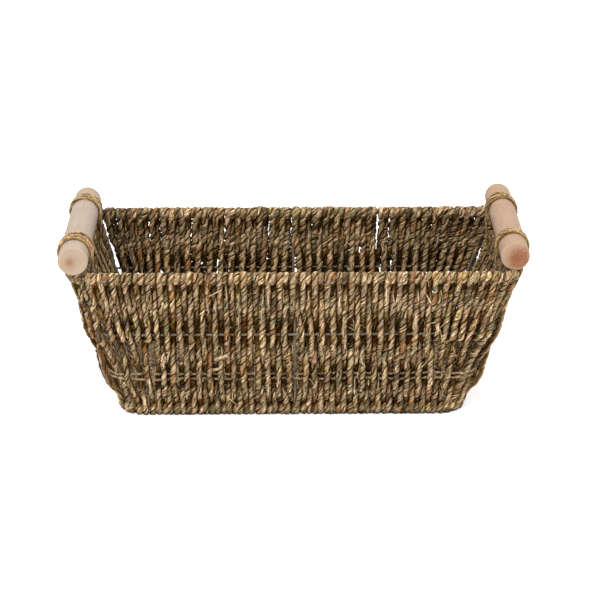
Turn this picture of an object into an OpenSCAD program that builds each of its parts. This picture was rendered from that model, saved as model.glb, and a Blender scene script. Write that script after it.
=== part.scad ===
// Rectangular bread basket: a welded wire frame wound with twisted seagrass cord,
// with a round wooden handle tied along each short end of the rim.

/* [Rim and base] */
// Length over the cord wound round the rim
rim_length = 372; // [330:1:420]
// Width over the cord wound round the rim
rim_width = 180; // [150:1:220]
// Height to the top of the wound rim
rim_height = 128; // [110:1:160]
// Outer corner radius of the wound rim
rim_corner = 20; // [16:1:30]
// Length over the cord wound round the base
base_length = 290; // [250:1:320]
// Width over the cord wound round the base
base_width = 157; // [135:1:180]
// Outer corner radius of the wound base
base_corner = 22; // [18:1:30]
// How far the base sits towards -X, the lean of a hand-made basket
base_lean = 2.5; // [0:0.5:5]

/* [Wire] */
// Diameter of the rim wire and the base wire
ring_wire = 3; // [2.5:0.1:3.4]
// Diameter of the uprights and the floor wires
strut_wire = 2.4; // [2:0.1:3]
// Diameter of the middle ring
mid_wire = 2; // [2:0.1:2.8]
// Height of the middle ring
mid_height = 74; // [66:1:78]
// Distance between the two floor wires
floor_wire_gap = 50; // [30:1:70]
// Angle from a corner's diagonal to the upright that stands beside it
corner_strut_angle = 15; // [13:1:20]

/* [Cord] */
// Outer diameter of the cord wound round the rim and the base
wrap_size = 9; // [8.6:0.1:9.4]
// Thickness of each layer of upright cords
cord_layer = 3; // [2.5:0.1:3.5]
// Thickness of the woven floor
floor_thick = 8; // [7.5:0.1:8.6]
// Height of the row of twisted cross strands
twine_height = 36; // [34:1:42]
// Diameter of one cross strand
twine_size = 2.4; // [1.8:0.1:2.4]
// Half width of the open slit at each corner, as an angle at the rim
slit_top = 8; // [5:0.5:9]
// The same angle at the base
slit_bottom = 3; // [2:0.5:5]

/* [Handles] */
// Diameter of each wooden handle
handle_size = 25; // [20:0.5:28]
// Length of each wooden handle
handle_length = 165; // [150:1:165]
// Rounding of the handle's ends
handle_round = 2.5; // [1:0.1:4]
// How far the handle's axis lies inside the rim wire
handle_inset = 2; // [0:0.1:3]
// Middle of the left handle along Y
left_handle_y = -7.5; // [-7.5:0.5:5]
// Middle of the right handle along Y
right_handle_y = -0.5; // [-7.5:0.5:5]
// Thickness of the twine turns that tie a handle to the rim
lash_thick = 2.5; // [1.5:0.1:2.5]

/* [Hidden] */
$fn = 64;

// [node, side of the basket, middle along Y, width along Y] of each tie
LASHES = [
    ["left_front_lashing", -1, -64, 14],
    ["left_back_lashing", -1, 44, 11],
    ["right_front_lashing", 1, -54, 9],
    ["right_back_lashing", 1, 43, 13],
];

cord_colour = [0.55, 0.45, 0.29];
inner_colour = [0.42, 0.35, 0.22];
wire_colour = [0.56, 0.55, 0.51];
wood_colour = [0.86, 0.71, 0.58];
twine_colour = [0.72, 0.55, 0.27];

wrap_r = wrap_size / 2;
base_z = wrap_r;
rim_z = rim_height - wrap_r;
// Fits touch with this much room, so that no two solids overlap
play = 0.15;
// Offsets from the middle of the wall: clear of the uprights, and clear of the rings outside them
clear_in = strut_wire / 2 + 0.2;
mid_offset = strut_wire / 2 + mid_wire / 2 + 0.2;
twine_offset = strut_wire / 2 + twine_size / 2 + 0.2;
clear_out = mid_offset + mid_wire / 2 + 0.2;
// Heights of the walls, and of the bulge over the rings
wall_bottom = wrap_size + play;
bulge_low = twine_height - 4;
bulge_high = mid_height + 3;
bulge_run = 12;
OUTER_OFFSETS = [clear_in, clear_in, clear_out, clear_out, clear_in, clear_in];
arc_steps = 5;
// Straight steps in each round stretch of a tie
tie_steps = 24;

handle_z = rim_z + sqrt(pow(handle_size / 2 + wrap_r, 2) - pow(handle_inset, 2)) + 0.02;
handle_x = rim_length / 2 - wrap_r - handle_inset;

// ---- The wall's middle surface: a rounded rectangle that widens from the base to the rim
function mix(a, b, t) = a + (b - a) * t;
function hundredth(v) = round(100 * v) / 100;
function level(z) = (z - base_z) / (rim_z - base_z);
function half_x(z) = mix(base_length, rim_length, level(z)) / 2 - wrap_r;
function half_y(z) = mix(base_width, rim_width, level(z)) / 2 - wrap_r;
function corner(z) = mix(base_corner, rim_corner, level(z)) - wrap_r;
function lean(z) = -base_lean * (1 - level(z));
function slit(z) = mix(slit_bottom, slit_top, level(z));

// Point at height z on the corner with signs c, in direction a, off outside the middle surface
function corner_point(z, a, c, off) = [
    lean(z) + c[0] * (half_x(z) - corner(z)) + (corner(z) + off) * cos(a),
    c[1] * (half_y(z) - corner(z)) + (corner(z) + off) * sin(a),
    z
];

// Signs of the two corners of the wall that faces direction a
function corner_signs(a) = [cos(a) > 0 ? 1 : -1, sin(a) > 0 ? 1 : -1];

// One row of points along the wall that faces direction face, from slit to slit
function wall_row(face, z, off) = concat(
    [for (i = [0 : arc_steps])
        corner_point(z, face - (45 - slit(z)) * (1 - i / arc_steps), corner_signs(face - 45), off)],
    [for (i = [0 : arc_steps])
        corner_point(z, face + (45 - slit(z)) * i / arc_steps, corner_signs(face + 45), off)]
);

// The wall that faces direction face ends under the rim, or under the ties on the two end walls
function wall_top(face) = rim_z - wrap_r - play - (cos(face) == 0 ? 0 : lash_thick);
function wall_levels(face) = [
    wall_bottom, bulge_low - bulge_run, bulge_low,
    bulge_high, bulge_high + 2 * bulge_run, wall_top(face)
];

// ---- Shared shapes
module rod(p, q, d) {
    run = q - p;
    translate(p)
        rotate([0, acos(run[2] / norm(run)), atan2(run[1], run[0])])
            cylinder(h = norm(run), d = d);
}

// Upright or floor wire between two ring wires, butted against both
module welded_rod(p, q) {
    end = (q - p) / norm(q - p) * ring_wire / 2;
    rod(p + end, q - end, strut_wire);
}

// Closed ring of round bar at height z, off outside the middle surface. Its sizes are whole
// hundredths of a millimetre, so that its straight and bent stretches meet exactly.
module ring(z, off, d) {
    r = hundredth(corner(z) + off);
    x = hundredth(half_x(z) - corner(z));
    y = hundredth(half_y(z) - corner(z));
    translate([hundredth(lean(z)), 0, hundredth(z)]) {
        for (quarter = [0 : 3]) {
            c = corner_signs(45 + 90 * quarter);
            translate([c[0] * x, c[1] * y, 0])
                rotate(90 * quarter)
                    rotate_extrude(angle = 90)
                        translate([r, 0])
                            circle(d = d);
        }
        for (s = [-1, 1]) {
            rod([s * (x + r), -y, 0], [s * (x + r), y, 0], d);
            rod([-x, s * (y + r), 0], [x, s * (y + r), 0], d);
        }
    }
}

// Layer of upright cords on the wall that faces direction face
module cord_layer_solid(face, near, far) {
    levels = wall_levels(face);
    rows = len(levels);
    cols = 2 * (arc_steps + 1);
    points = concat(
        [for (j = [0 : rows - 1]) each wall_row(face, levels[j], far[j])],
        [for (j = [0 : rows - 1]) each wall_row(face, levels[j], near[j])]
    );
    inner = rows * cols;
    faces = concat(
        [for (j = [0 : rows - 2], i = [0 : cols - 2])
            each [[j * cols + i, (j + 1) * cols + i, (j + 1) * cols + i + 1],
                [j * cols + i, (j + 1) * cols + i + 1, j * cols + i + 1]]],
        [for (j = [0 : rows - 2], i = [0 : cols - 2])
            each [[inner + j * cols + i, inner + (j + 1) * cols + i + 1, inner + (j + 1) * cols + i],
                [inner + j * cols + i, inner + j * cols + i + 1, inner + (j + 1) * cols + i + 1]]],
        [for (i = [0 : cols - 2])
            each [[i, i + 1, inner + i + 1], [i, inner + i + 1, inner + i]]],
        [for (i = [0 : cols - 2], t = (rows - 1) * cols)
            each [[t + i, inner + t + i + 1, t + i + 1], [t + i, inner + t + i, inner + t + i + 1]]],
        [for (j = [0 : rows - 2])
            each [[j * cols, inner + j * cols, inner + (j + 1) * cols],
                [j * cols, inner + (j + 1) * cols, (j + 1) * cols]]],
        [for (j = [0 : rows - 2], e = cols - 1)
            each [[j * cols + e, inner + (j + 1) * cols + e, inner + j * cols + e],
                [j * cols + e, (j + 1) * cols + e, inner + (j + 1) * cols + e]]]
    );
    polyhedron(points, faces, convexity = 6);
}

module outer_cords(face) {
    color(cord_colour)
        cord_layer_solid(face, OUTER_OFFSETS, [for (o = OUTER_OFFSETS) o + cord_layer]);
}

module inner_cords(face) {
    color(inner_colour)
        cord_layer_solid(face, [for (o = OUTER_OFFSETS) -clear_in - cord_layer],
            [for (o = OUTER_OFFSETS) -clear_in]);
}

// ---- Wire frame
module rim_wire() {
    color(wire_colour) ring(rim_z, 0, ring_wire);
}

module middle_wire() {
    color(wire_colour) ring(mid_height, mid_offset, mid_wire);
}

module base_wire() {
    color(wire_colour) ring(base_z, 0, ring_wire);
}

// Upright beside the corner with signs c, standing in the long wall
module corner_strut(c) {
    a = c[1] * (90 - (45 - corner_strut_angle) * c[0]);
    color(wire_colour) welded_rod(corner_point(base_z, a, c, 0), corner_point(rim_z, a, c, 0));
}

// Upright in the middle of a long wall, s = -1 at the front
module long_side_strut(s) {
    color(wire_colour)
        welded_rod([0, s * half_y(base_z), base_z], [0, s * half_y(rim_z), rim_z]);
}

// Upright in the middle of an end wall, s = -1 on the left
module end_strut(s) {
    color(wire_colour)
        welded_rod([lean(base_z) + s * half_x(base_z), 0, base_z], [s * half_x(rim_z), 0, rim_z]);
}

module floor_wire(s) {
    y = s * floor_wire_gap / 2;
    color(wire_colour)
        welded_rod([lean(base_z) - half_x(base_z), y, base_z], [lean(base_z) + half_x(base_z), y, base_z]);
}

module uprights() {
    for (sx = [-1, 1], sy = [-1, 1]) corner_strut([sx, sy]);
    for (s = [-1, 1]) {
        long_side_strut(s);
        end_strut(s);
    }
}

// ---- Seagrass cord
module wrapping(z) {
    difference() {
        ring(z, 0, wrap_size);
        ring(z, 0, ring_wire);
        uprights();
        floor_wire(-1);
        floor_wire(1);
    }
}

module rim_wrapping() {
    color(cord_colour) wrapping(rim_z);
}

module base_wrapping() {
    color(cord_colour) wrapping(base_z);
}

module floor_weave() {
    edge = wrap_r + play;
    r = corner(base_z) - edge;
    x = half_x(base_z) - corner(base_z);
    y = half_y(base_z) - corner(base_z);
    color(inner_colour)
        difference() {
            translate([lean(base_z), 0, 0])
                linear_extrude(floor_thick) {
                    square([2 * (x + r), 2 * y], center = true);
                    square([2 * x, 2 * (y + r)], center = true);
                    for (sx = [-1, 1], sy = [-1, 1]) translate([sx * x, sy * y]) circle(r);
                }
            for (s = [-1, 1])
                translate([-base_length, s * floor_wire_gap / 2, base_z])
                    rotate([0, 90, 0])
                        cylinder(h = 2 * base_length, d = strut_wire);
        }
}

// Twisted cross strand that holds the upright cords together, low on the walls
module cross_strand(s) {
    color(cord_colour) ring(twine_height + s * (twine_size / 2 + 0.1), twine_offset, twine_size);
}

// ---- Handles and their ties
module handle(s, y) {
    core = handle_size / 2 - handle_round;
    color(wood_colour)
        translate([s * handle_x, y - handle_length / 2, handle_z])
            rotate([-90, 0, 0])
                rotate_extrude() {
                    square([core, handle_length]);
                    translate([0, handle_round])
                        square([handle_size / 2, handle_length - 2 * handle_round]);
                    for (end = [handle_round, handle_length - handle_round])
                        translate([core, end]) circle(handle_round);
                }
}

// Closed outline round the handle (at the origin) and the wound rim below it, t outside both
function tie_outline(s, t) =
    let (
        rim = [s * handle_inset, rim_z - handle_z],
        lie = atan2(rim[1], rim[0]),
        spread = acos((handle_size / 2 - wrap_r) / norm(rim)),
        top_step = (360 - 2 * spread) / tie_steps,
        low_step = 2 * spread / tie_steps,
        top_r = (handle_size / 2 + t) / cos(top_step / 2),
        low_r = (wrap_r + t) / cos(low_step / 2)
    )
    concat(
        [for (i = [0 : tie_steps], a = lie + spread + top_step * i) top_r * [cos(a), sin(a)]],
        [for (i = [0 : tie_steps], a = lie - spread + low_step * i) rim + low_r * [cos(a), sin(a)]]
    );

module lashing(tie) {
    s = tie[1];
    width = tie[3];
    color(twine_colour)
        translate([s * handle_x, tie[2] + width / 2, handle_z])
            rotate([90, 0, 0])
                linear_extrude(width)
                    difference() {
                        polygon(tie_outline(s, lash_thick));
                        polygon(tie_outline(s, 0.02));
                    }
}

rim_wire();
middle_wire();
base_wire();
corner_strut([-1, -1]);  // front_left_strut
corner_strut([1, -1]);  // front_right_strut
corner_strut([-1, 1]);  // back_left_strut
corner_strut([1, 1]);  // back_right_strut
long_side_strut(-1);  // front_centre_strut
long_side_strut(1);  // back_centre_strut
end_strut(-1);  // left_centre_strut
end_strut(1);  // right_centre_strut
floor_wire(-1);  // front_floor_wire
floor_wire(1);  // back_floor_wire
rim_wrapping();
base_wrapping();
floor_weave();
outer_cords(-90);  // front_outer_cords
outer_cords(90);  // back_outer_cords
outer_cords(180);  // left_outer_cords
outer_cords(0);  // right_outer_cords
inner_cords(-90);  // front_inner_cords
inner_cords(90);  // back_inner_cords
inner_cords(180);  // left_inner_cords
inner_cords(0);  // right_inner_cords
cross_strand(1);  // upper_cross_strand
cross_strand(-1);  // lower_cross_strand
handle(-1, left_handle_y);  // left_handle
handle(1, right_handle_y);  // right_handle
for (tie = LASHES)
    lashing(tie);
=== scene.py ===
"""Looks of the seagrass bread basket: ropes, handles, ties, wires, camera, light and floor."""

import math

import bpy
import numpy as np
from mathutils import Matrix, Vector


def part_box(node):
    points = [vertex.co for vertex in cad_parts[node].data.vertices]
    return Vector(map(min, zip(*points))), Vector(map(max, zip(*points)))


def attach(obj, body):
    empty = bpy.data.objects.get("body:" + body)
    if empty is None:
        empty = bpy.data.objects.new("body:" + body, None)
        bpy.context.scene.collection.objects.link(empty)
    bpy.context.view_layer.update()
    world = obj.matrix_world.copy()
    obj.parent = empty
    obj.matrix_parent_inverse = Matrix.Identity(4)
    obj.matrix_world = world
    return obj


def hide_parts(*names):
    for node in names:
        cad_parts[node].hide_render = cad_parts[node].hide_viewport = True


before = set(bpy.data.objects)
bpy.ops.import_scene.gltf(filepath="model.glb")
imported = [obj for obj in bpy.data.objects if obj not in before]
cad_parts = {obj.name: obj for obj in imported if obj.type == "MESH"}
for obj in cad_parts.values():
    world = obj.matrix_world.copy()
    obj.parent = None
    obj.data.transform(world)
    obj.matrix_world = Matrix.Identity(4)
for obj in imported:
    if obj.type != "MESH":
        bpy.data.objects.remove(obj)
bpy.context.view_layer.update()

MM = 0.001
TAU = 2 * math.pi


# -------- places, all in millimetres
def box_mm(node):
    low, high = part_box(node)
    return np.array(low) / MM, np.array(high) / MM


RIM_LOW, RIM_HIGH = box_mm("rim_wrapping")
BASE_LOW, BASE_HIGH = box_mm("base_wrapping")
WRAP_R = (RIM_HIGH[2] - RIM_LOW[2]) / 2
RIM_Z = (RIM_LOW[2] + RIM_HIGH[2]) / 2
BASE_Z = (BASE_LOW[2] + BASE_HIGH[2]) / 2
RIM_HALF = (RIM_HIGH - RIM_LOW)[:2] / 2 - WRAP_R
BASE_HALF = (BASE_HIGH - BASE_LOW)[:2] / 2 - WRAP_R
BASE_X = (BASE_LOW[0] + BASE_HIGH[0]) / 2
MID_Z = sum(b[2] for b in box_mm("middle_wire")) / 2
TWINE_Z = (box_mm("lower_cross_strand")[1][2] + box_mm("upper_cross_strand")[0][2]) / 2
LEVELS = [BASE_Z, MID_Z, RIM_Z]
CORNER_BASE, CORNER_RIM = 17.5, 15.5  # bend radius of the base wire and of the rim wire
POST_ANGLE = 30  # how far round a corner, from the long wall, its upright stands
STEP = 0.95  # between the rings of points along a wall's ropes
FRONT, RIGHT, BACK, LEFT = -90, 0, 90, 180

# Each wall: its passes, how far round its two corners they reach, in degrees at the three levels,
# and the passes from each end that turn back at the middle ring
WALLS = {
    FRONT: ("front", 70, (19, 19, 19), (19, 19, 19), (0, 1, 3, 4, 6, 7, 9, 10)),
    RIGHT: ("right", 34, (49, 49, 49), (50, 50, 50), (0,)),
    BACK: ("back", 70, (22, 22, 22), (19, 16, 4), (0, 1, 3, 4, 6, 7, 9, 10)),
    LEFT: ("left", 34, (50, 50, 50), (49, 49, 49), (0,)),
}
# The gaps left between the passes under the back rim: distance along the wall, and width
BACK_GAPS = (
    (157, 2.0), (148, 0.8), (128, 2.4), (118, 1.2), (88, 1.0),
    (61, 0.7), (20, 1.2), (-74, 1.3), (-85, 1.5),
)


def level(z):
    return (z - BASE_Z) / (RIM_Z - BASE_Z)


def mix(a, b, t):
    return a + (b - a) * t


def wall_sizes(face, z):
    """How far out the wall lies at height z, half its straight run and its corner radius."""
    t = level(z)
    half = [mix(BASE_HALF[k], RIM_HALF[k], t) for k in (0, 1)]
    radius = mix(CORNER_BASE, CORNER_RIM, t)
    out, along = half if face in (RIGHT, LEFT) else half[::-1]
    return out, along - radius, radius


def corner_s(face, z, angle):
    """Distance along a wall, from its middle, of the point this many degrees round its corner."""
    _, run, radius = wall_sizes(face, z)
    return run + radius * np.radians(angle)


def wall_reach(face, z):
    """Where a wall's passes start and end along it at height z."""
    _, _, low, high, _ = WALLS[face]
    return (
        -corner_s(face, z, np.interp(z, LEVELS, low)), corner_s(face, z, np.interp(z, LEVELS, high))
    )


def wall_point(face, s, z, off):
    """Points on a wall: s along it from its middle, height z, off outside its middle surface."""
    out, run, radius = wall_sizes(face, z)
    over = np.maximum(np.abs(s) - run, 0) * np.sign(s) / radius
    a = math.radians(face)
    n = out - radius + (radius + off) * np.cos(over)
    e = np.clip(s, -run, run) + (radius + off) * np.sin(over)
    x = BASE_X * (1 - level(z)) + n * math.cos(a) - e * math.sin(a)
    y = n * math.sin(a) + e * math.cos(a)
    return np.stack([x, y, z + 0 * x], -1)


def wall_across(face, s, z):
    """Unit vector along the wall at s."""
    _, run, radius = wall_sizes(face, z)
    a = math.radians(face) + np.maximum(np.abs(s) - run, 0) * np.sign(s) / radius
    return np.stack([-np.sin(a), np.cos(a), 0 * a], -1)


# -------- mesh code
def wander(rng, s, wave, size):
    """A smooth random wave along s."""
    total = 0 * s
    for scale, share in ((1, 0.6), (0.55, 0.35), (0.3, 0.2)):
        total = total + share * np.sin(
            TAU * (s / (wave * scale * rng.uniform(0.8, 1.25)) + rng.uniform())
        )
    return size * total


def unit(v):
    return v / np.maximum(np.linalg.norm(v, axis=-1, keepdims=True), 1e-9)


def run_along(points):
    """The distance along a line of each of its points."""
    gaps = np.linalg.norm(np.diff(points, axis=0), axis=1)
    return np.concatenate([[0], np.cumsum(gaps)])


def resample(points, step):
    """The same line with points about step apart, and the distance along it of each."""
    s = run_along(points)
    t = np.linspace(0, s[-1], max(4, int(round(s[-1] / step)) + 1))
    return np.stack([np.interp(t, s, points[:, k]) for k in range(points.shape[1])], 1), t


def relax(path, times):
    """Rounds off the bends of a path, in place."""
    for _ in range(times):
        path[1:-1] = (path[:-2] + 2 * path[1:-1] + path[2:]) / 4


def tube_faces(n, m):
    """The quads of n rings of m points, one after another, and the places i, j they start at."""
    i, j = np.meshgrid(np.arange(n - 1), np.arange(m), indexing="ij")
    i, j = i.ravel(), j.ravel()
    j2 = (j + 1) % m
    return np.stack([i * m + j, i * m + j2, (i + 1) * m + j2, (i + 1) * m + j], 1), i, j


def paint(mesh, name, kind, field, values):
    """Stores one value per vertex as a named attribute."""
    mesh.attributes.new(name, kind, "POINT").data.foreach_set(
        field, values.astype(np.float32).ravel()
    )


class Bundle:
    """Strands of rope collected into one mesh, each with a strip of its own on the texture map."""

    def __init__(self):
        self.strands = []

    def add(self, rings, tint, fibre):
        self.strands.append((rings, tint, fibre))

    def mesh(self, name):
        """One mesh of all strands, each with about the same share of the map."""
        count = len(self.strands)
        length = np.mean([run_along(rings[:, 0])[-1] for rings, _, _ in self.strands])
        around = np.mean([run_along(rings[0])[-1] * 1.15 for rings, _, _ in self.strands])
        columns = max(1, round(math.sqrt(count * around / length)))
        rows = math.ceil(count / columns)
        verts, corners, totals, uvs = [], [], [], []
        base = 0
        for k, (rings, _, _) in enumerate(self.strands):
            n, m = rings.shape[:2]
            verts.append(rings.reshape(-1, 3))
            quads, i, j = tube_faces(n, m)
            caps = np.concatenate([np.arange(m)[::-1], (n - 1) * m + np.arange(m)])
            corners += [(quads + base).ravel(), caps + base]
            totals += [np.full(len(quads), 4), np.array([m, m])]
            u0, v0 = (k % columns) / columns, (k // columns) / rows
            u = u0 + (0.004 + 0.992 * np.stack([i, i, i + 1, i + 1], 1) / (n - 1)) / columns
            v = v0 + (0.08 + 0.84 * np.stack([j, j + 1, j + 1, j], 1) / m) / rows
            uvs.append(np.stack([u.ravel(), v.ravel()], 1))
            ends = np.repeat([u0 + 0.004 / columns, u0 + 0.996 / columns], m)
            uvs.append(np.stack([ends, np.full(2 * m, v0 + 0.5 / rows)], 1))
            base += n * m
        me = bpy.data.meshes.new(name)
        co = np.concatenate(verts) * MM
        corners, totals = np.concatenate(corners), np.concatenate(totals)
        me.vertices.add(len(co))
        me.vertices.foreach_set("co", co.astype(np.float32).ravel())
        me.loops.add(len(corners))
        me.loops.foreach_set("vertex_index", corners.astype(np.int32))
        me.polygons.add(len(totals))
        starts = np.concatenate([[0], np.cumsum(totals)[:-1]])
        me.polygons.foreach_set("loop_start", starts.astype(np.int32))
        me.polygons.foreach_set("use_smooth", np.ones(len(totals), bool))
        me.update(calc_edges=True)
        layer = me.uv_layers.new(name="OFBake")
        layer.data.foreach_set("uv", np.concatenate(uvs).astype(np.float32).ravel())
        tint = np.concatenate([t.reshape(-1, 4) for _, t, _ in self.strands])
        paint(me, "tint", "FLOAT_COLOR", "color", tint)
        fibre = np.concatenate([f.reshape(-1, 3) for _, _, f in self.strands])
        paint(me, "fibre", "FLOAT_VECTOR", "vector", fibre)
        me.validate()
        return me


def new_object(name, data):
    ob = bpy.data.objects.new(name, data)
    bpy.context.scene.collection.objects.link(ob)
    return ob


def place(name, mesh, material, slot, *nodes):
    """Puts a finished mesh in the scene as a piece of the basket."""
    ob = new_object(name, mesh)
    mesh.materials.clear()
    mesh.materials.append(material)
    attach(ob, "root")
    if nodes:
        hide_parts(*nodes)
    return ob


# -------- colours of the grass
def linear(colours):
    c = np.array(colours, float) / 255
    return np.where(c < 0.04045, c / 12.92, ((c + 0.055) / 1.055) ** 2.4)


SEAGRASS = (
    linear([
        (184, 160, 131), (171, 145, 114), (151, 135, 105), (136, 112, 82),
        (156, 112, 70), (148, 117, 94), (94, 76, 52), (134, 127, 97), (170, 147, 104),
    ]),
    np.array([0.25, 0.27, 0.15, 0.12, 0.045, 0.05, 0.06, 0.035, 0.03]),
)
PALE_GRASS = (SEAGRASS[0] * 1.1, np.array([0.45, 0.25, 0.12, 0.04, 0.02, 0.02, 0, 0.06, 0.04]))
TWINE = (
    linear([(216, 188, 150), (200, 170, 130), (168, 137, 99), (212, 190, 158), (124, 99, 70)]),
    np.array([0.3, 0.3, 0.2, 0.12, 0.08]),
)
STRAW = (
    linear([(206, 182, 136), (188, 162, 118), (150, 124, 86), (112, 92, 60)]),
    np.array([0.35, 0.3, 0.2, 0.15]),
)
SHADE_POWERS = np.array([1, 1.26, 2.0])  # painted shade in crevices and between ropes is browner as well as darker


def blade_colours(rng, palette, s):
    """Colour along one blade of grass, which is spliced to another every few centimetres."""
    colours, weights = np.array(palette[0]), palette[1] / palette[1].sum()
    knots = [rng.uniform(-40, 0)]
    while knots[-1] < s[-1] + 40:
        knots.append(knots[-1] + rng.uniform(9, 45))
    picks = colours[rng.choice(len(colours), len(knots), p=weights)]
    picks = picks * rng.normal(1, 0.11, (len(knots), 1)).clip(0.6, 1.25)
    at = np.searchsorted(knots, s) - 1
    t = ((s - np.array(knots)[at]) / 5).clip(0, 1)
    t = (t * t * (3 - 2 * t))[:, None]
    return mix(picks[np.maximum(at - 1, 0)], picks[at], t)


# -------- two-strand rope
def twist(
    bundle, rng, path, across, size, lay, flat, palette, sides=10, flank_shade=0.0, depth=None, light_and_tone=1.0
):
    """Sweeps two twisted strands along a path. across points to a neighbouring rope, size is the
    diameter, lay the length of one turn and flat the thickness share. The strands' colours carry
    painted shade in the groove between the two strands, in the valleys between the blades and, in
    the strength given, on the flanks, which neighbours crowd; depth says how much painted shade a
    point gets, from its height over the rope's path. The last argument scales the whole rope, for
    painted light and for the grass's own tone."""
    n = len(path)
    s = run_along(path)
    along = unit(np.gradient(path, axis=0))
    out = unit(np.cross(across, along))
    side = np.cross(along, out)
    radius = np.broadcast_to(size, n) / 2
    flat = np.broadcast_to(flat, n)
    turn = TAU * s / lay + rng.uniform(0, TAU) + wander(rng, s, 38, 1.2) + wander(rng, s, 14, 0.4)
    angle = TAU * np.arange(sides) / sides
    # Each rope's own tone, times its pass's painted light and tone.
    rope_tone_and_light = rng.normal(1, 0.07) * np.reshape(light_and_tone, (-1, 1, 1))
    for ply in range(2):
        phi = turn + math.pi * ply
        fat = 1 + wander(rng, s, 24, 0.1) + wander(rng, s, 10, 0.13) + rng.normal(0, 0.04)
        # A strand's middle from the rope's, and its half widths outward and sideways
        centre = (0.47 * radius)[:, None]
        deep = (0.53 * radius * fat)[:, None]
        wide = (0.79 * radius * fat)[:, None]
        rib = np.cos(3 * angle[None] - TAU * s[:, None] / (2.6 * lay) + rng.uniform(0, TAU))
        ribs = 1 + 0.11 * rib
        a = centre + deep * np.cos(angle) * ribs
        b = wide * np.sin(angle) * ribs
        cos, sin = np.cos(phi)[:, None], np.sin(phi)[:, None]
        reach = np.hypot(a, b) / radius[:, None]
        # Painted shade in the groove between the two strands, varying along the rope.
        groove = (0.18 + wander(rng, s, 21, 0.14)).clip(0.05, 0.55)[:, None]
        painted_openness = groove + (1 - groove) * ((reach - 0.46) / 0.36).clip(0, 1)
        n_part = (a * cos - b * sin) * flat[:, None]
        # Painted shade where the other layer of passes lies over this one.
        if depth is not None:
            painted_openness = painted_openness * depth(n_part)
        b_part = (a * sin + b * cos) * (1 + 0.25 * (1 - flat[:, None]))
        # Painted shade on the crowded flanks and in the valleys between the blades.
        flank = (np.abs(b_part) / radius[:, None] - 0.48).clip(0, 0.38) / 0.38
        painted_openness = painted_openness * (1 - flank_shade * flank**1.5) * (1 - 0.6 * (0.5 - 0.5 * rib) ** 3)
        rings = path[:, None] + n_part[..., None] * out[:, None] + b_part[..., None] * side[:, None]
        lean = angle[None] + TAU * s[:, None] / (3.2 * lay)
        share = (0.5 + 0.75 * np.cos(lean + rng.uniform(0, TAU))).clip(0, 1)[..., None]
        tint = mix(
            blade_colours(rng, palette, s)[:, None], blade_colours(rng, palette, s)[:, None], share
        )
        seed = rng.uniform(0, 90)
        fibre = np.stack(
            [np.cos(lean) * 1.5, np.sin(lean) * 1.5, 0 * lean + s[:, None] * 0.19 + seed], -1
        )
        # The blades' colours with the rope's tone, its painted light and all its painted shade; the
        # alpha keeps the painted openness, which weakens the gloss.
        tint = tint * rope_tone_and_light * painted_openness[..., None] ** SHADE_POWERS
        bundle.add(rings, np.concatenate([tint, painted_openness[..., None]], 2), fibre)


def blade(bundle, rng, points, width, palette, thick=0.25, blunt=1.0, flat_to=None):
    """One loose flat blade of grass along a few points, narrower at both ends. It turns as it goes,
    or lies flat to the direction flat_to."""
    path, s = resample(np.array(points), 0.8)
    relax(path, 3)
    along = unit(np.gradient(path, axis=0))
    out = unit(np.cross(along, [1, 0, 0] if abs(along[0][0]) < 0.8 else [0, 0, 1]))
    if flat_to is not None:
        out = unit(np.cross(np.cross(along, flat_to), along))
    side = np.cross(along, out)
    turn = rng.normal(0, 0.2) + 0 * s if flat_to is not None else rng.uniform(0, TAU) + s / 12
    facing = out * np.cos(turn)[..., None] + side * np.sin(turn)[..., None]
    broad = np.cross(along, facing)
    t = s / s[-1]
    half = 0.5 * width * np.clip(4 * blunt * np.minimum(t, 1 - t) + 0.3, 0, 1)
    wide, high = np.array([1, 0, -1, 0]), np.array([0, 1, 0, -1])
    rings = path[:, None] + (half[:, None] * wide)[..., None] * broad[:, None]
    rings = rings + (0.5 * thick * high)[:, None] * facing[:, None]
    tint = np.repeat(blade_colours(rng, palette, s)[:, None], 4, 1)
    fibre = np.stack(
        [np.tile(wide * 0.8, (len(s), 1)), np.tile(high * 0.3, (len(s), 1)),
         np.repeat(s[:, None] * 0.13 + rng.uniform(0, 90), 4, 1)], -1,
    )
    bundle.add(rings, np.concatenate([tint, np.ones((len(s), 4, 1))], 2), fibre)


# -------- the woven walls
HOOK_R = 3.15  # from the middle of a ring wire to the middle of the rope hooked round it
MID_OFF = 2.95  # how far outside the uprights the ropes turn back round the middle ring
MID_HOOK_R = 3.65
LEG_R = 2.3  # half the depth of a rope between the rings


def smooth_steps(z, knots, values, width):
    """Values between knots along z, with each bend rounded over about width."""
    shifts = np.linspace(-1, 1, 9) * width
    return sum(np.interp(z + d, knots, values) for d in shifts) / len(shifts)


def leg_offset(outer, z):
    """Offset of a pass at height z: by turns in and out of the rim, the rings and the strands."""
    side = -1 if outer else 1
    at_mid, at_twine = (6.6, -0.7) if outer else (-0.8, 6.3)
    knots = [BASE_Z + 2, TWINE_Z - 2, TWINE_Z + 2, MID_Z - 1, MID_Z + 1, RIM_Z - 2]
    values = [-side * HOOK_R, at_twine, at_twine, at_mid, at_mid, side * HOOK_R]
    return smooth_steps(z, knots, values, 4)


def arc(side, z0, turn, r=HOOK_R, off=0.0):
    return np.stack([off + side * r * np.cos(turn), z0 + r * np.sin(turn)], 1)


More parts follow.
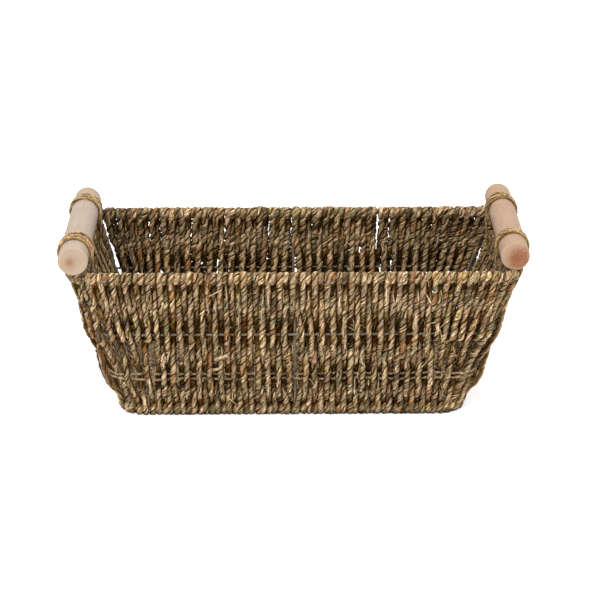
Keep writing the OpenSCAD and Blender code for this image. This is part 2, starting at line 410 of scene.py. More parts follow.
def leg_line(outer, short):
    """(offset, height, turn of the hook) of a pass, from its low end to its high end. A short pass
    turns back round the middle ring, and a full one hooks round the base wire."""
    side = -1 if outer else 1
    rim_turn = np.radians(np.arange(3, 271, 12))
    if short:
        low_turn = np.radians(np.arange(-90, -5, 12))
        low = arc(-side, MID_Z, low_turn, MID_HOOK_R, MID_OFF)
        z = np.arange(MID_Z + 1, RIM_Z - 0.5, 1.0)
        low_hook = low_turn / (0.5 * math.pi)
    else:
        low_turn = np.radians(np.arange(90, 358, 12))
        low = arc(-side, BASE_Z, low_turn)
        z = np.arange(BASE_Z + 1, RIM_Z - 0.5, 1.0)
        low_hook = (low_turn - TAU) / (1.5 * math.pi)
    leg = np.stack([leg_offset(outer, z), z], 1)
    line = np.concatenate([low, leg, arc(side, RIM_Z, rim_turn)])
    hook = np.concatenate([low_hook, 0 * z, rim_turn / (1.5 * math.pi)])
    return resample(np.concatenate([line, hook[:, None]], 1), STEP)[0]


def layer_bounds(z):
    """The innermost and the outermost offset of the two layers of legs at height z."""
    edges = [leg_offset(outer, z) for outer in (False, True)]
    return np.minimum(*edges) - LEG_R, np.maximum(*edges) + LEG_R


LEG_LINES = {
    (outer, short): leg_line(outer, short) for outer in (False, True) for short in (False, True)
}


def pass_track(face, k):
    """Where pass k stands along its wall at the base, the middle ring and the rim."""
    _, count, _, _, turned = WALLS[face]
    kept = [j for j in range(count) if min(j, count - 1 - j) not in turned]
    (low_b, high_b), (low_m, high_m), (low_r, high_r) = (wall_reach(face, z) for z in LEVELS)
    at_rim = low_r + (k + 0.5) / count * (high_r - low_r)
    place_in = np.searchsorted(kept, k - 0.5)
    at_base = low_b + (place_in + 0.5) / len(kept) * (high_b - low_b)
    pitch = ((high_b - low_b) / len(kept) + (high_r - low_r) / count) / 2
    core = count / 2 - max(turned) - 2
    u = k + 0.5 - count / 2
    end = high_m if u > 0 else -low_m
    outside = max(abs(u) - core, 0) / (count / 2 - core)
    at_mid = math.copysign(pitch * min(abs(u), core) + outside * (end - pitch * core), u)
    return at_base, at_mid, at_rim


def upright_s(face, z):
    """Where a wall's middle upright stands along it. The base's lean tilts it in the long walls."""
    if face in (LEFT, RIGHT):
        return 0 * z
    return -BASE_X * (1 - level(z)) * (1 if face == FRONT else -1)


def bump_at(z, middle, width):
    """1 at a height, falling off smoothly to 0 above and below it."""
    return np.exp(-(((z - middle) / width) ** 2))


def gap_push(along, z, pitch):
    """How far the passes beside a gap under the back rim stand aside."""
    under_rim = np.clip(np.minimum((z - 92) / 9, (RIM_Z + 2 - z) / 5), 0, 1)
    push = 0 * z
    for place_at, width in BACK_GAPS:
        start = wall_reach(BACK, RIM_Z)[0]
        middle = start + np.round((place_at - start) / pitch[-1]) * pitch[-1]
        aside = along - middle
        push = push + np.sign(aside) * (0.5 + width / 2) * np.exp(-np.abs(aside) / 6)
    return push * under_rim


def pass_along(face, k, z, s, hook, legs, rng):
    """Where pass k runs along its wall: its track, pushed aside by the upright and by the gaps, and
    uneven as hand work is."""
    count = WALLS[face][1]
    low_reach, high_reach = wall_reach(face, z)
    pitch = (high_reach - low_reach) / count
    along = smooth_steps(z, LEVELS, pass_track(face, k), 12)
    middle = np.clip(1 - (np.abs(along) / high_reach) ** 4, 0, 1)
    post = upright_s(face, z)
    along = along + post * middle
    gap = along - post
    free = np.clip(np.minimum((z - BASE_Z - 4) / 14, (RIM_Z - 26 - z) / 20), 0, 1)
    aside = 1.6 if face in (LEFT, RIGHT) else 3.0
    along = along + np.sign(gap) * mix(-1.2, aside, free) * np.exp(-np.abs(gap) / 12)
    if face == BACK:
        along = along + gap_push(along, z, pitch)
    along = along + (-1 if k % 2 else 1) * 0.5 * hook**2 * pitch
    untidy = 0.8
    if face == FRONT:  # its two ends are the least even
        untidy = 1 + 1.3 * np.clip(np.abs(k + 0.5 - count / 2) / (count / 2) * 4 - 2.7, 0, 1)
    along = along + (wander(rng, s, 110, 0.5) + wander(rng, s, 34, 0.25)) * untidy * legs
    along = along + wander(rng, s, 15, 0.28) * legs
    loose = np.clip(np.minimum(z - BASE_Z - 6, RIM_Z - 30 - z) / 18, 0, 1)
    return along + rng.normal(0, 0.5) * loose + rng.normal(0, 0.22)


def pass_off(face, outer, off, z, s, legs, rng):
    """Offset and height along a pass, with the end walls' bulges and a hook that stands up a little
    or lies flat on the rim."""
    off = off + (wander(rng, s, 60, 0.3) + rng.normal(0, 0.3)) * legs
    if face in (LEFT, RIGHT) and not outer:
        off = off + 3.4 * bump_at(z, 24, 13) + 1.6 * bump_at(z, 52, 11)
    elif face in (LEFT, RIGHT):
        off = off + 2.2 * bump_at(z, RIM_Z - 13, 9)
    above = np.clip((z - RIM_Z + 5) / 5, 0, 1) * abs(rng.normal(0, 0.11))
    return off * (1 + above), z + np.maximum(z - RIM_Z, 0) * above


def pass_size(face, z, s, ring, rng):
    """Diameter of the rope along a pass. ring is 1 where it goes round a ring wire."""
    size = mix(5.8, 5.4, np.clip((44 - z) / 40, 0, 1)) * rng.normal(1, 0.05)
    size = size * {FRONT: 0.96, BACK: 1.09}.get(face, 1)
    size = size * (1 + wander(rng, s, 30, 0.06) + wander(rng, s, 11, 0.05))
    return size * mix(1, np.where(z > MID_Z, 0.98, 1.05), ring)


def pass_light_and_tone(face, along, z):
    """How light a pass is. Painted light makes the front lighter round the middle ring and along
    the top of the rim, and the whole back wall lighter. One end of the back wall was woven from
    darker grass.
    """
    if face == FRONT:
        return 1 + 0.12 * bump_at(z, MID_Z, 11) + 0.07 * np.clip((z - RIM_Z + 5) / 4, 0, 1)
    if face == BACK:
        return 1.1 - 0.3 * np.clip((along - 138) / 12, 0, 1)
    return 1.0


def wall_pass(face, k, rng, bundles):
    """One pass of rope, from its low end to its hook on the rim wire."""
    count, turned = WALLS[face][1], WALLS[face][4]
    outer = k % 2 == 1
    short = min(k, count - 1 - k) in turned
    off, z, hook = LEG_LINES[outer, short].T
    s = STEP * np.arange(len(z))
    legs = np.clip(np.minimum(z - BASE_Z - 2, RIM_Z - 4 - z) / 22, 0, 1)
    along = pass_along(face, k, z, s, hook, legs, rng)
    off, z = pass_off(face, outer, off, z, s, legs, rng)
    ring = 1 - np.clip(np.minimum(np.abs(z - BASE_Z), np.abs(z - RIM_Z)) / 9, 0, 1)
    size = pass_size(face, z, s, ring, rng)
    _, run, radius = wall_sizes(face, z)
    corner = np.clip((np.abs(along) - run) / radius / 0.5, 0, 1)
    near, far = layer_bounds(z)
    # How much of the painted shade a leg takes: none at the rings, less round the corners.
    at_leg = np.clip(np.minimum(z - BASE_Z - 1, RIM_Z - 4 - z) / 3, 0, 1)
    at_leg = (at_leg * (1 - 0.55 * corner))[:, None]

    def depth(n_part):
        """Painted shade where the other layer of passes lies over the rope."""
        offset = off[:, None] + n_part
        buried = np.minimum(far[:, None] - offset, offset - near[:, None]).clip(0, None)
        return mix(1, 0.015 + 0.985 * np.exp(-((buried / 4.0) ** 2.7)), at_leg)

    lay = rng.normal(16.5, 2.3)
    wrap = Bundle()
    # Painted shade on the flanks, less round the rings and the corners, painted shade where buried,
    # and the pass's painted light.
    twist(
        wrap, rng, wall_point(face, along, z, off), wall_across(face, along, z), size, lay,
        mix(0.84, 0.66, ring), SEAGRASS, flank_shade=(mix(0.95, 0.6, ring) * (1 - 0.3 * corner))[:, None],
        depth=depth, light_and_tone=pass_light_and_tone(face, along, z),
    )
    low = 0 if short else np.searchsorted(hook, 0, "left") + 1
    high = np.searchsorted(hook, 0, "right") - 1
    layer = bundles["outer" if outer else "inner"]
    for rings, tint, fibre in wrap.strands:
        if not short:
            bundles["base"].add(*pressed_and_shadowed(rings[: low + 1], tint[: low + 1], fibre[: low + 1]))
        layer.add(rings[low:high], tint[low:high], fibre[low:high])
        bundles["rim"].add(rings[high - 1 :], tint[high - 1 :], fibre[high - 1 :])
    leg = slice(low, high)
    if not short:
        stray_blades(face, along[leg], off[leg], z[leg], rng, layer)


def stray_blades(face, along, off, z, rng, bundle):
    """Blades that have slipped out of a pass's twist and lie along it, where they can be seen."""
    for _ in range(rng.poisson(2.2)):
        start = rng.uniform(BASE_Z + 8, RIM_Z - 18)
        rise = rng.uniform(6, 18)
        height = np.linspace(start, min(start + rise, RIM_Z - 4), 7)
        t = np.linspace(0, 1, 7)
        out = 1 if rng.random() < 0.5 else -1
        beside = rng.uniform(-0.9, 0.9) + rng.normal(0, 1.6) * (t - 0.5)
        s = np.interp(height, z, along) + beside
        lift = LEG_R - 0.2 * beside**2 + 0.4 * np.sin(math.pi * t)
        blade_off = np.interp(height, z, off) + out * lift
        points = wall_point(face, s, height, blade_off)
        facing = out * np.cross(wall_across(face, s, height).mean(0), [0, 0, 1.0])
        near, far = layer_bounds(height)
        if (out * (blade_off - (far if out > 0 else near))).max() > -2.4:
            blade(bundle, rng, points, rng.uniform(1.0, 2.0), SEAGRASS, flat_to=facing)


PRESSED = 2.4  # the height up to which the table flattens the base's ropes
TABLE_GAP = 0.05


def pressed_and_shadowed(rings, tint, fibre):
    """The base's ropes pressed flat on the table, with a painted contact shadow where they meet it.
    """
    z = rings[..., 2]
    height = TABLE_GAP + PRESSED * np.clip((z - 0.9) / 1.5, 0, 1) ** 1.3
    height = np.where(z < PRESSED, height, z + TABLE_GAP)
    # Painted contact shadow, darkest at the table and gone about 5 mm up.
    shade = mix(0.22, 1, np.clip((height - 0.9) / 4.2, 0, 1))[..., None]
    rings = np.concatenate([rings[..., :2], height[..., None]], 2)
    return rings, np.concatenate([tint[..., :3] * shade, tint[..., 3:]], 2), fibre


def post_rope(face, sign, rng, bundle):
    """The rope wound along the upright beside a corner, and outside the middle ring."""
    z = np.arange(BASE_Z + 2, RIM_Z - 1, STEP)
    along = sign * corner_s(face, z, POST_ANGLE) + wander(rng, z, 60, 0.3)
    off = wander(rng, z, 50, 0.2) + 5.8 * bump_at(z, MID_Z, 12)
    path = wall_point(face, along, z, off)
    twist(bundle, rng, path, wall_across(face, along, z), 6.6, 15, 0.9, SEAGRASS, flank_shade=0.5)


def ring_loop(face, sign, angle, z0, rng, bundle, size):
    """One turn of rope round a ring wire, where no pass hooks on."""
    turn = np.radians(np.arange(-100, 281, 14))
    line, _ = resample(np.concatenate([arc(1, z0, turn), turn[:, None]], 1), STEP)
    off, z, turn = line.T
    s = sign * corner_s(face, z, angle) + (turn - math.pi / 2) / TAU * 4.4
    path = wall_point(face, s, z, off)
    loop = Bundle()
    twist(loop, rng, path, wall_across(face, s, z), size, 14, 0.66, SEAGRASS, flank_shade=0.4)
    for strand in loop.strands:
        bundle.add(*(pressed_and_shadowed(*strand) if z0 < MID_Z else strand))


def loose_blades(face, count, outside, rng, bundle):
    """Ends of grass that stand off one side of a wall."""
    for _ in range(count):
        z0 = rng.uniform(BASE_Z + 6, RIM_Z - 6)
        low, high = wall_reach(face, z0)
        heading = rng.normal(0, 0.5) + rng.choice([0, math.pi])
        length = rng.uniform(5, 15)
        t = np.linspace(0, 1, 6)
        z = np.clip(z0 + length * t * math.cos(heading), BASE_Z + 2, RIM_Z)
        s = rng.uniform(low, high) + length * (t * math.sin(heading) + rng.normal(0, 0.12) * t * t)
        lift = rng.uniform(0.4, 2.2) * t**1.5 - 0.7
        near, far = layer_bounds(z)
        off = far + lift if outside else near - lift
        blade(bundle, rng, wall_point(face, s, z, off), rng.uniform(0.5, 1.1), STRAW)


def rim_tufts(face, count, rng, bundle):
    """Short blade ends that stick up from the wound rim."""
    for _ in range(count):
        low, high = wall_reach(face, RIM_Z)
        t = np.linspace(0, 1, 5)
        s = rng.uniform(low, high) + rng.normal(0, 3) * t
        z = RIM_Z + 3.2 + rng.uniform(0.8, 3.2) * t
        off = rng.uniform(-2.2, 1.2) + rng.normal(0, 1.2) * t
        blade(bundle, rng, wall_point(face, s, z, off), rng.uniform(0.6, 1.5), SEAGRASS)


def frayed_spot(face, s0, z0, count, rng, bundle):
    """A worn place where many short fibres have come loose."""
    for _ in range(count):
        heading = rng.uniform(0, TAU)
        length = rng.uniform(3, 9)
        t = np.linspace(0, 1, 6)
        s = s0 + rng.normal(0, 1.5) + length * t * math.cos(heading) + rng.normal(0, 2) * t * t
        z = z0 + rng.normal(0, 5) + length * t * math.sin(heading)
        off = layer_bounds(z)[1] - 0.8 + rng.uniform(1, 3.5) * np.sin(math.pi * 0.7 * t)
        blade(bundle, rng, wall_point(face, s, z, off), rng.uniform(0.35, 0.7), STRAW)


def split_straw(face, start, end, width, rng, bundle):
    """A flat pale piece of a broken blade caught in the weave, from start to end as (s, z)."""
    t = np.linspace(0, 1, 6)
    s, z = mix(start[0], end[0], t), mix(start[1], end[1], t)
    points = wall_point(face, s, z, layer_bounds(z)[1] + 1.3)
    facing = np.cross(wall_across(face, s, z).mean(0), [0, 0, 1.0])
    pale = ([linear((176, 149, 112))], np.ones(1))
    blade(bundle, rng, points, width, pale, thick=0.4, blunt=2.5, flat_to=facing)


def weave_walls(cord):
    """All four walls, with the ropes' turns round the rim wire and the base wire."""
    rim, base = Bundle(), Bundle()
    for number, (face, (side, count, low, high, _)) in enumerate(WALLS.items()):
        bundles = {"rim": rim, "base": base, "outer": Bundle(), "inner": Bundle()}
        for k in range(count):
            wall_pass(face, k, np.random.default_rng(1000 * number + k), bundles)
        rng = np.random.default_rng(90 + number)
        for sign, reach in ((-1, low), (1, high)):
            if face in (FRONT, BACK):
                post_rope(face, sign, rng, bundles["inner"])
                at_rim = (POST_ANGLE, 46, 16) if reach[2] < 10 else (POST_ANGLE, 46)
                for angle in at_rim:
                    ring_loop(face, sign, angle, RIM_Z, rng, rim, 6.2)
                for angle in (POST_ANGLE, 45):
                    ring_loop(face, sign, angle, BASE_Z, rng, base, 5.6)
        length = 2 if face in (FRONT, BACK) else 1
        loose_blades(face, 22 * length, True, rng, bundles["outer"])
        loose_blades(face, 12 * length, False, rng, bundles["inner"])
        rim_tufts(face, 14 * length, rng, rim)
        if face == FRONT:
            frayed_spot(face, 51, 84, 16, rng, bundles["outer"])
            frayed_spot(face, 119, 76, 9, rng, bundles["outer"])
            split_straw(face, (-65, 52), (-53.5, 56.5), 3.6, rng, bundles["outer"])
            split_straw(face, (-66, 44), (-61, 45), 2.6, rng, bundles["outer"])
        for layer in ("outer", "inner"):
            name = f"{side}_{layer}_cords"
            place(name + "_woven", bundles[layer].mesh(name), cord, "seagrass_cord", name)
    place("rim_wrapping_rope", rim.mesh("rim_rope"), cord, "seagrass_cord", "rim_wrapping")
    place("base_wrapping_rope", base.mesh("base_rope"), cord, "seagrass_cord", "base_wrapping")


# -------- cross strands and floor
def cross_strand(name, z0, seed, cord):
    """A thin twisted strand that runs round the basket between the inner and the outer cords."""
    rng = np.random.default_rng(seed)
    points = []
    for face in (FRONT, RIGHT, BACK, LEFT):
        _, run, radius = wall_sizes(face, z0)
        half = run + radius * math.pi / 4
        s = np.arange(-half, half, 0.6)
        z = z0 + 0.3 * np.sin(TAU * s / 8.4) + wander(rng, s, 60, 0.6)
        points.append(wall_point(face, s, z, 2.9 + wander(rng, s, 40, 0.2)))
    bundle = Bundle()
    path = np.concatenate(points + [points[0][:2]])
    twist(bundle, rng, path, (0, 0, -1), 1.9, 5.2, 1.0, PALE_GRASS, sides=6)
    place(name + "_twisted", bundle.mesh(name), cord, "seagrass_cord", name)


FLOOR_ROPES = 56
FLOOR_ROPE = 5.8  # diameter
FLOOR_CORNER = 12  # bend radius of the floor's outline
FLOOR_SWING = 2.4  # how far up or down a rope goes to pass a floor wire


def weave_floor(cord):
    """Ropes across the basket, over one floor wire and under the other by turns."""
    low, high = box_mm("floor_weave")
    wires = [sum(b[1] for b in box_mm(n)) / 2 for n in ("front_floor_wire", "back_floor_wire")]
    middle = (low + high) / 2
    half = (high - low) / 2
    bundle = Bundle()
    for k in range(FLOOR_ROPES):
        rng = np.random.default_rng(7000 + k)
        x = middle[0] + (half[0] - 2.2) * (2 * k / (FLOOR_ROPES - 1) - 1)
        inset = max(0.0, abs(x - middle[0]) - (half[0] - FLOOR_CORNER))
        end = half[1] + 0.8 - (FLOOR_CORNER - math.sqrt(max(0.0, FLOOR_CORNER**2 - inset**2)))
        y = np.arange(-end, end, 1.0)
        over = 1 if k % 2 else -1
        height = smooth_steps(
            y, [-end, wires[0] - 5, wires[0] + 5, wires[1] - 5, wires[1] + 5, end],
            [0, over, over, -over, -over, 0], 9,
        )
        z = BASE_Z + FLOOR_SWING * height + wander(rng, y, 50, 0.1)
        path = np.stack([x + wander(rng, y, 70, 0.35), y, z], 1)
        lay = rng.normal(12, 0.8)
        twist(bundle, rng, path, (-1, 0, 0), FLOOR_ROPE, lay, 0.6, SEAGRASS, sides=6)
    place("floor_weave_ropes", bundle.mesh("floor_ropes"), cord, "seagrass_cord", "floor_weave")


# -------- handles
# How much of its full radius each stick has at its front end and at its back end
TAPER = {"left_handle": (1.0, 0.93), "right_handle": (0.965, 0.905)}
END_DOME = 0.35  # how far a sawn end bulges
END_EASE = 1.8  # rounding of the edge of a sawn end


def stick_share(node, y):
    """How much of its full radius a tapering stick has at y."""
    low, high = box_mm(node)
    return np.interp(y, [low[1], high[1]], TAPER[node])


def turned_handle(node, seed, material):
    """A sawn round stick, a little uneven, with eased ends."""
    low, high = box_mm(node)
    rng = np.random.default_rng(seed)
    centre, radius = (low + high) / 2, (high[0] - low[0]) / 2
    length, face_r = high[1] - low[1], radius - END_EASE
    curve = np.radians(np.arange(0, 91, 15))
    share = np.array([0.02, 0.2, 0.4, 0.6, 0.8, 0.93])
    edge_y = END_DOME + (END_EASE - END_DOME) * (1 - np.cos(curve))
    end_r = np.concatenate([share * face_r, face_r + END_EASE * np.sin(curve)])
    end_y = np.concatenate([END_DOME * share**2, edge_y])
    barrel_y = np.arange(END_EASE + 2, length - END_EASE - 1, 2.0)
    r = np.concatenate([end_r, np.full(len(barrel_y), radius), end_r[::-1]])
    y = np.concatenate([end_y, barrel_y, length - end_y[::-1]])
    sides = 72
    angle = TAU * np.arange(sides) / sides
    uneven = 1 - 0.012 + 0.008 * np.sin(2 * angle[None] + y[:, None] / 60 + rng.uniform(0, TAU))
    uneven = uneven + 0.006 * np.sin(3 * angle[None] - y[:, None] / 37 + rng.uniform(0, TAU))
    uneven = uneven + (0.004 * np.sin(y / 11 + rng.uniform(0, TAU)))[:, None]
    full = r[:, None] * uneven * stick_share(node, low[1] + y)[:, None]
    ring = np.stack([full * np.cos(angle), np.tile(y[:, None], sides), -full * np.sin(angle)], -1)
    mesh = strip_mesh(node, ring + [centre[0], low[1], centre[2]])
    grain = np.stack([ring[..., 0], ring[..., 2], ring[..., 1]], -1)
    paint(mesh, "grain", "FLOAT_VECTOR", "vector", grain)
    into = np.clip(np.minimum(y, length - y) / END_EASE, 0, 1)
    sawn = np.repeat(1 - np.clip((into - 0.15) / 0.7, 0, 1)[:, None], sides, 1)
    paint(mesh, "sawn", "FLOAT", "value", sawn)
    handle_map(mesh, ring, len(end_r), length)
    place(node + "_stick", mesh, material, "handle_wood", node)


def strip_mesh(name, rings):
    """A closed skin over a row of rings."""
    n, m = rings.shape[:2]
    quads = tube_faces(n, m)[0].tolist()
    quads.append(list(range(m))[::-1])
    quads.append([(n - 1) * m + k for k in range(m)])
    mesh = bpy.data.meshes.new(name + "_skin")
    mesh.from_pydata((rings.reshape(-1, 3) * MM).tolist(), [], quads)
    mesh.polygons.foreach_set("use_smooth", np.ones(len(quads), bool))
    return mesh


FACE_SPAN = 84  # millimetres of an end face that would fill the texture map


def handle_map(mesh, ring, end_rows, length):
    """Texture map: the barrel as one sheet, and each end face as a disc above it."""
    layer = mesh.uv_layers.new(name="OFBake")
    rows, sides = ring.shape[:2]
    flat = ring.reshape(-1, 3)
    for poly in mesh.polygons:
        idx = list(poly.vertices)
        row = [k // sides for k in idx]
        near = max(row) < end_rows - 3
        far = min(row) > rows - end_rows + 2
        around = [k % sides for k in idx]
        wraps = len(idx) == 4 and max(around) - min(around) > 1
        for loop, k, a in zip(poly.loop_indices, idx, around):
            if near or far:
                u = (0.17 if near else 0.51) + flat[k][0] / FACE_SPAN
                v = 0.83 + flat[k][2] / FACE_SPAN
            else:
                u = 0.01 + 0.98 * flat[k][1] / length
                v = 0.01 + 0.63 * ((a or sides) if wraps and a == 0 else a) / sides
            layer.data[loop].uv = (u, v)


# -------- ties
def tie_outline(handle, rim, t):
    """Closed line t outside the handle's round and the rim's, from the outer side over the top."""
    lie = math.atan2(rim[1], rim[0])
    gap = math.hypot(*rim)
    spread = math.acos((handle - WRAP_R) / gap)
    top = lie + spread + np.linspace(0, TAU - 2 * spread, 60)
    low = lie - spread + np.linspace(0, 2 * spread, 24)
    big = (handle + t) * np.stack([np.cos(top), np.sin(top)], 1)
    small = np.array(rim) + (WRAP_R + t) * np.stack([np.cos(low), np.sin(low)], 1)
    return np.concatenate([big, small, big[:1]])


def tie(node, handle_node, turns, size, lay, seed, material):
    """Turns of twisted grass twine round a handle and the rim under it."""
    low, high = box_mm(node)
    stick_low, stick_high = box_mm(handle_node)
    centre = (stick_low + stick_high) / 2
    side = math.copysign(1, centre[0])
    radius = (stick_high[0] - stick_low[0]) / 2
    radius *= stick_share(handle_node, (low[1] + high[1]) / 2)
    rim = (side * RIM_HALF[0] - centre[0], RIM_Z - centre[2])
    rng = np.random.default_rng(seed)
    bundle = Bundle()
    y_middle = (low[1] + high[1]) / 2
    step = (high[1] - low[1] - size) / max(turns - 1, 1)
    for k in range(turns):
        line, s = resample(tie_outline(radius - 0.15, rim, 0.45 * size), 0.7)
        t = s / s[-1]
        inward = np.clip(-side * line[:, 0] / radius, -1, 1)
        y = low[1] + size / 2 + step * (k + (t - 0.5) * 0.9)
        y = y + wander(rng, s, 40, 0.5) * np.sin(math.pi * t) ** 0.5
        y = y_middle + (y - y_middle) * (1 + 0.25 * inward)
        lift = (wander(rng, s, 30, 0.25) + 0.2 + 0.45 * (k % 2)) * np.clip(inward + 0.8, 0, 1)
        middle = line - line.mean(0)
        line = line + unit(middle) * lift[:, None]
        path = np.stack([centre[0] + line[:, 0], y, centre[2] + line[:, 1]], 1)
        width = size * rng.uniform(0.85, 1.05)
        twist(bundle, rng, path, (0, 1, 0), width, lay, 0.92, TWINE, flank_shade=0.45, sides=6)
    for k in range(3):
        loose_end(centre, side, radius, y_middle + (k - 1) * 1.7, rng, bundle)
    for _ in range(7):
        turn = rng.uniform(0.9, 2.0)
        start = [math.cos(turn) * (radius + 1.8), y_middle, math.sin(turn) * (radius + 1.8)]
        root = centre + start + rng.normal(0, 1.2, 3)
        tip = centre + start + rng.normal(0, 2.2, 3) + [0, 2, 1]
        blade(bundle, rng, [root, tip], 0.5, STRAW)
    place(node + "_twine", bundle.mesh(node), material, "lashing_twine", node)


def loose_end(centre, side, radius, y, rng, bundle):
    """An end of the twine, tucked down inside the basket past the rim."""
    down = rng.uniform(12, 22)
    z_low = RIM_Z - down
    wall_x = side * (wall_sizes(RIGHT, z_low)[0] - 5.5) + BASE_X * (1 - level(z_low))
    past_x = centre[0] - side * (radius + 1.4)
    points = np.array([
        (centre[0] - side * 0.80 * radius, y, centre[2] + 0.66 * radius),
        (centre[0] - side * (radius + 0.9), y, centre[2] + 1),
        (past_x, y + rng.normal(0, 0.8), RIM_Z + 4),
        (mix(past_x, wall_x, 0.5), y + rng.normal(0, 1.5), RIM_Z - down / 2),
        (wall_x, y + rng.normal(0, 2.5), z_low),
    ])
    path, _ = resample(points, 0.8)
    relax(path, 12)
    twist(bundle, rng, path, (0, 1, 0), 1.9, 7, 0.9, TWINE, flank_shade=0.5, sides=6)


# -------- materials
class Look:
    """A material, with short calls for the nodes that it is made of."""

    def __init__(self, name):
        self.material = bpy.data.materials.new(name)
        self.material.use_nodes = True
        tree = self.material.node_tree
        self.nodes, self.links = tree.nodes, tree.links
        self.shader = self.nodes["Principled BSDF"]

    def node(self, kind, operation=None):
        node = self.nodes.new(kind)
        if operation:
            node.operation = operation
        return node

    def feed(self, node, values):
        """Sets each named input of a node to a number or a colour, or links it."""
        for name, value in values.items():
            if isinstance(value, (int, float)):
                node.inputs[name].default_value = value
            elif isinstance(value, tuple):
                node.inputs[name].default_value = (*linear(value), 1)
            else:
                self.links.new(value, node.inputs[name])

    def into(self, name, value):
        self.links.new(value, self.shader.inputs[name])

    def attribute(self, name):
        node = self.node("ShaderNodeAttribute")
        node.attribute_name = name
        return node.outputs

    def noise(self, vector, scale, detail=3.0, rough=0.55):
        node = self.node("ShaderNodeTexNoise")
        self.feed(node, {"Vector": vector, "Scale": scale, "Detail": detail, "Roughness": rough})
        return node.outputs["Fac"]

    def remap(self, value, low, high, to_low, to_high):
        node = self.node("ShaderNodeMapRange")
        self.feed(node, {"Value": value, "From Min": low, "From Max": high})
        self.feed(node, {"To Min": to_low, "To Max": to_high})
        return node.outputs["Result"]

    def math(self, operation, *values):
        node = self.node("ShaderNodeMath", operation)
        self.feed(node, dict(enumerate(values)))
        return node.outputs[0]

    def times(self, a, b):
        return self.math("MULTIPLY", a, b)

    def scaled(self, colour, factor):
        node = self.node("ShaderNodeVectorMath", "SCALE")
        self.feed(node, {0: colour, "Scale": factor})
        return node.outputs[0]

    def mix(self, factor, a, b):
        node = self.node("ShaderNodeMix")
        node.data_type = "RGBA"
        self.feed(node, {"Factor": factor, "A": a, "B": b})
        return node.outputs["Result"]

    def bump(self, height, distance, strength):
        node = self.node("ShaderNodeBump")
        self.feed(node, {"Strength": strength, "Distance": distance, "Height": height})
        self.into("Normal", node.outputs["Normal"])


def grass_material(name, streaks, gloss):
    """Dried grass: fine fibres and painted shade in the splits along each strand, over the blades'
    own colours and the painted shade and light that they carry.
    """
    look = Look(name)
    fibre = look.attribute("fibre")["Vector"]
    tint = look.attribute("tint")
    fine = look.noise(fibre, 3.2 * streaks, 4.0, 0.6)
    broad = look.noise(fibre, 1.15 * streaks, 2.5)
    split = look.noise(fibre, 1.5 * streaks, 1.0)
    split = look.math("ABSOLUTE", look.math("SUBTRACT", split, 0.5))
    shade = look.times(
        look.remap(fine, 0.3, 0.7, 0.5, 1.52), look.remap(broad, 0.3, 0.7, 0.36, 1.85)
    )
    # Painted shade in the splits between the blades.
    shade = look.times(shade, look.remap(split, 0.004, 0.07, 0.22, 1.22))
    look.into("Base Color", look.scaled(tint["Color"], shade))
    look.into("Roughness", look.remap(fine, 0.3, 0.7, 0.72, 0.5))
    look.into("Specular IOR Level", look.times(tint["Alpha"], gloss))
    look.bump(fine, 0.0004, 0.8)
    return look.material


def wood_material(name, pale, dark, end, pith, stain, stain_at, stain_size, stain_colour):
    """Peeled pale stick: grain along it, rings and a pith on the sawn ends, a painted highlight
    round the eased edges, the far end grubbier.
    pith and stain_at are places on an end face, in millimetres from its middle."""
    look = Look(name)
    grain = look.attribute("grain")["Vector"]
    sawn = look.attribute("sawn")["Fac"]
    split = look.node("ShaderNodeSeparateXYZ")
    look.links.new(grain, split.inputs[0])
    across = look.node("ShaderNodeCombineXYZ")
    for axis in "XY":
        look.links.new(split.outputs[axis], across.inputs[axis])
    stretched = look.node("ShaderNodeVectorMath", "MULTIPLY")
    stretched.inputs[1].default_value = (1, 1, 0.035)
    look.links.new(grain, stretched.inputs[0])
    streak = look.noise(stretched.outputs[0], 1.1, 5.0, 0.6)
    blotch = look.noise(grain, 0.05, 2.0)

    def distance(point, wobble):
        node = look.node("ShaderNodeVectorMath", "DISTANCE")
        node.inputs[1].default_value = (*point, 0)
        look.links.new(across.outputs[0], node.inputs[0])
        uneven = look.remap(look.noise(grain, 0.35, 3.0), 0.3, 0.7, -wobble, wobble)
        return look.math("ADD", node.outputs["Value"], uneven)

    body = look.mix(look.remap(streak, 0.2, 0.8, 0, 1), dark, pale)
    body = look.mix(sawn, body, end)
    # Painted highlight round the eased edge between the barrel and the sawn end.
    edge = look.times(sawn, look.math("SUBTRACT", 1, sawn))
    body = look.mix(look.times(edge, 0.4), body, (200, 180, 157))
    grubby = look.remap(split.outputs["Z"], 146, 160, 0, 0.45)
    body = look.mix(grubby, body, (154, 125, 80))
    from_pith = distance(pith, 0.5)
    rings = look.math("SINE", look.times(from_pith, 4.2))
    rings = look.remap(rings, -1, 1, 0.965, 1.02)
    body = look.scaled(body, look.times(rings, look.remap(blotch, 0.3, 0.7, 0.94, 1.05)))
    core = look.remap(from_pith, 0.4, 5.2, 1.0, 0)
    body = look.mix(look.times(core, sawn), body, (132, 92, 62))
    spot = look.remap(distance(stain_at, 1.8), stain_size * 0.45, stain_size, stain, 0)
    mottle = look.remap(look.noise(grain, 0.75, 4.0, 0.8), 0.4, 0.57, 0.45, 1.2)
    body = look.mix(look.times(look.times(spot, sawn), mottle), body, stain_colour)
    look.into("Base Color", body)
    look.into("Roughness", look.remap(streak, 0.3, 0.7, 0.66, 0.52))
    look.shader.inputs["Specular IOR Level"].default_value = 0.35
    look.bump(streak, 0.00018, 0.6)
    return look.material


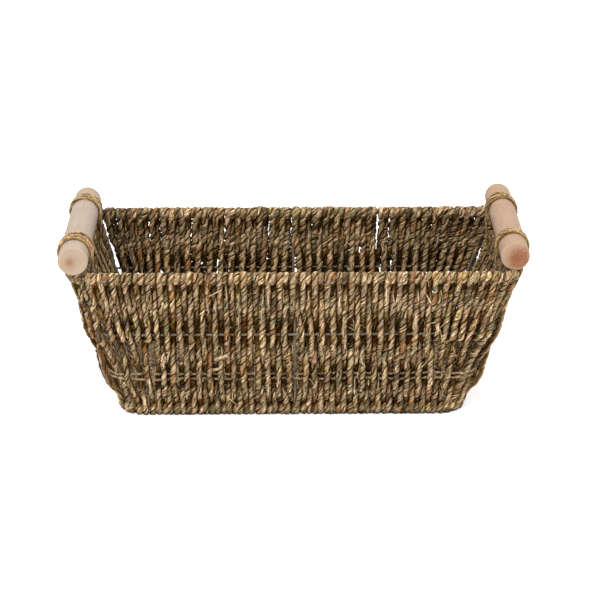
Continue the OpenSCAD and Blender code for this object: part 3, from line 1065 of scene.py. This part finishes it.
def wire_material():
    """Dull galvanised wire with darker drawn streaks and specks."""
    look = Look("dull_wire")
    place_of = look.node("ShaderNodeTexCoord").outputs["Object"]
    cloud = look.noise(place_of, 90, 4.0)
    speck = look.noise(place_of, 900, 2.0)
    tone = look.mix(look.remap(cloud, 0.35, 0.65, 0, 1), (102, 92, 75), (134, 123, 102))
    look.into("Base Color", look.scaled(tone, look.remap(speck, 0.3, 0.6, 0.8, 1.05)))
    look.into("Roughness", look.remap(cloud, 0.3, 0.7, 0.62, 0.42))
    look.shader.inputs["Metallic"].default_value = 0.25
    look.bump(speck, 0.0001, 0.5)
    return look.material


# -------- stage
def camera():
    """The photograph's view: about 20 degrees above the table, square on to the front."""
    data = bpy.data.cameras.new("camera")
    data.sensor_width = 36
    data.lens = 138.33
    data.clip_end = 50
    elevation, yaw, roll = (math.radians(v) for v in (20.264, 0.508, -0.101))
    level_x, level_y = math.sin(yaw) * math.cos(elevation), math.cos(yaw) * math.cos(elevation)
    forward = Vector((level_x, level_y, -math.sin(elevation)))
    right = forward.cross(Vector((0, 0, 1))).normalized()
    up = right.cross(forward)
    right, up = (
        right * math.cos(roll) + up * math.sin(roll), up * math.cos(roll) - right * math.sin(roll)
    )
    aim, distance = Vector((0.00504, 0, 0.07331)), 1.9718
    eye = aim - forward * distance
    ob = new_object("camera", data)
    turn = Matrix((right, up, -forward)).transposed().to_4x4()
    ob.matrix_world = Matrix.Translation(eye) @ turn
    bpy.context.scene.camera = ob


def area_light(name, place_at, aim, size, watts):
    """A soft square light."""
    data = bpy.data.lights.new(name, "AREA")
    data.shape = "SQUARE"
    data.size = size
    data.energy = watts
    ob = new_object(name, data)
    ob.location = place_at
    ob.rotation_euler = (Vector(aim) - Vector(place_at)).to_track_quat("-Z", "Y").to_euler()


def studio():
    """Even white surroundings, two soft lights and a pale table."""
    world = bpy.data.worlds.new("studio")
    bpy.context.scene.world = world
    world.use_nodes = True
    world.node_tree.nodes["Background"].inputs["Color"].default_value = (1, 1, 1, 1)
    world.node_tree.nodes["Background"].inputs["Strength"].default_value = 1.0
    area_light("key", (-0.7, -1.5, 1.9), (0, 0, 0.05), 1.2, 34)
    area_light("top", (0.5, 0.3, 2.1), (0, 0, 0.05), 1.4, 20)
    look = Look("white_table")
    for name, value in {
        "Base Color": (0.6, 0.6, 0.6, 1), "Roughness": 1.0, "Specular IOR Level": 0.0,
        "Emission Color": (1, 1, 1, 1), "Emission Strength": 0.6,
    }.items():
        look.shader.inputs[name].default_value = value
    mesh = bpy.data.meshes.new("table")
    edge, top = 30, -0.0004
    corners = [(-edge, -edge, top), (edge, -edge, top), (edge, edge, top), (-edge, edge, top)]
    mesh.from_pydata(corners, [], [(0, 1, 2, 3)])
    mesh.materials.append(look.material)
    new_object("table", mesh)
    bpy.context.scene.view_settings.view_transform = "Standard"


# -------- the whole basket
def main():
    """Everything, from the stage to the ties."""
    camera()
    studio()
    cord = grass_material("dry_seagrass", 1.0, 0.35)
    twine = grass_material("golden_twine", 1.3, 0.4)
    wire = wire_material()
    for name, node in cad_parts.items():
        if name.endswith(("_wire", "_strut")):
            node.data.materials.clear()
            node.data.materials.append(wire)
    weave_walls(cord)
    cross_strand("upper_cross_strand", TWINE_Z + 2.2, 41, cord)
    cross_strand("lower_cross_strand", TWINE_Z - 2.4, 42, cord)
    weave_floor(cord)
    pale_wood = wood_material(
        "pale_stick", pale=(168, 151, 135), dark=(154, 136, 119), end=(167, 146, 125),
        pith=(-2.4, -0.8),
        stain=0.45, stain_at=(-2, -1.5), stain_size=10, stain_colour=(150, 118, 88),
    )
    pink_wood = wood_material(
        "pink_stick", pale=(167, 138, 114), dark=(152, 122, 96), end=(162, 132, 105),
        pith=(0.4, -1.2),
        stain=0.95, stain_at=(3.4, -2.2), stain_size=12.5, stain_colour=(127, 70, 33),
    )
    turned_handle("left_handle", 61, pale_wood)
    turned_handle("right_handle", 62, pink_wood)
    tie("left_front_lashing", "left_handle", 4, 2.9, 13, 71, twine)
    tie("left_back_lashing", "left_handle", 4, 2.6, 13, 72, twine)
    tie("right_front_lashing", "right_handle", 4, 2.7, 24, 73, twine)
    tie("right_back_lashing", "right_handle", 4, 2.6, 22, 74, twine)


main()
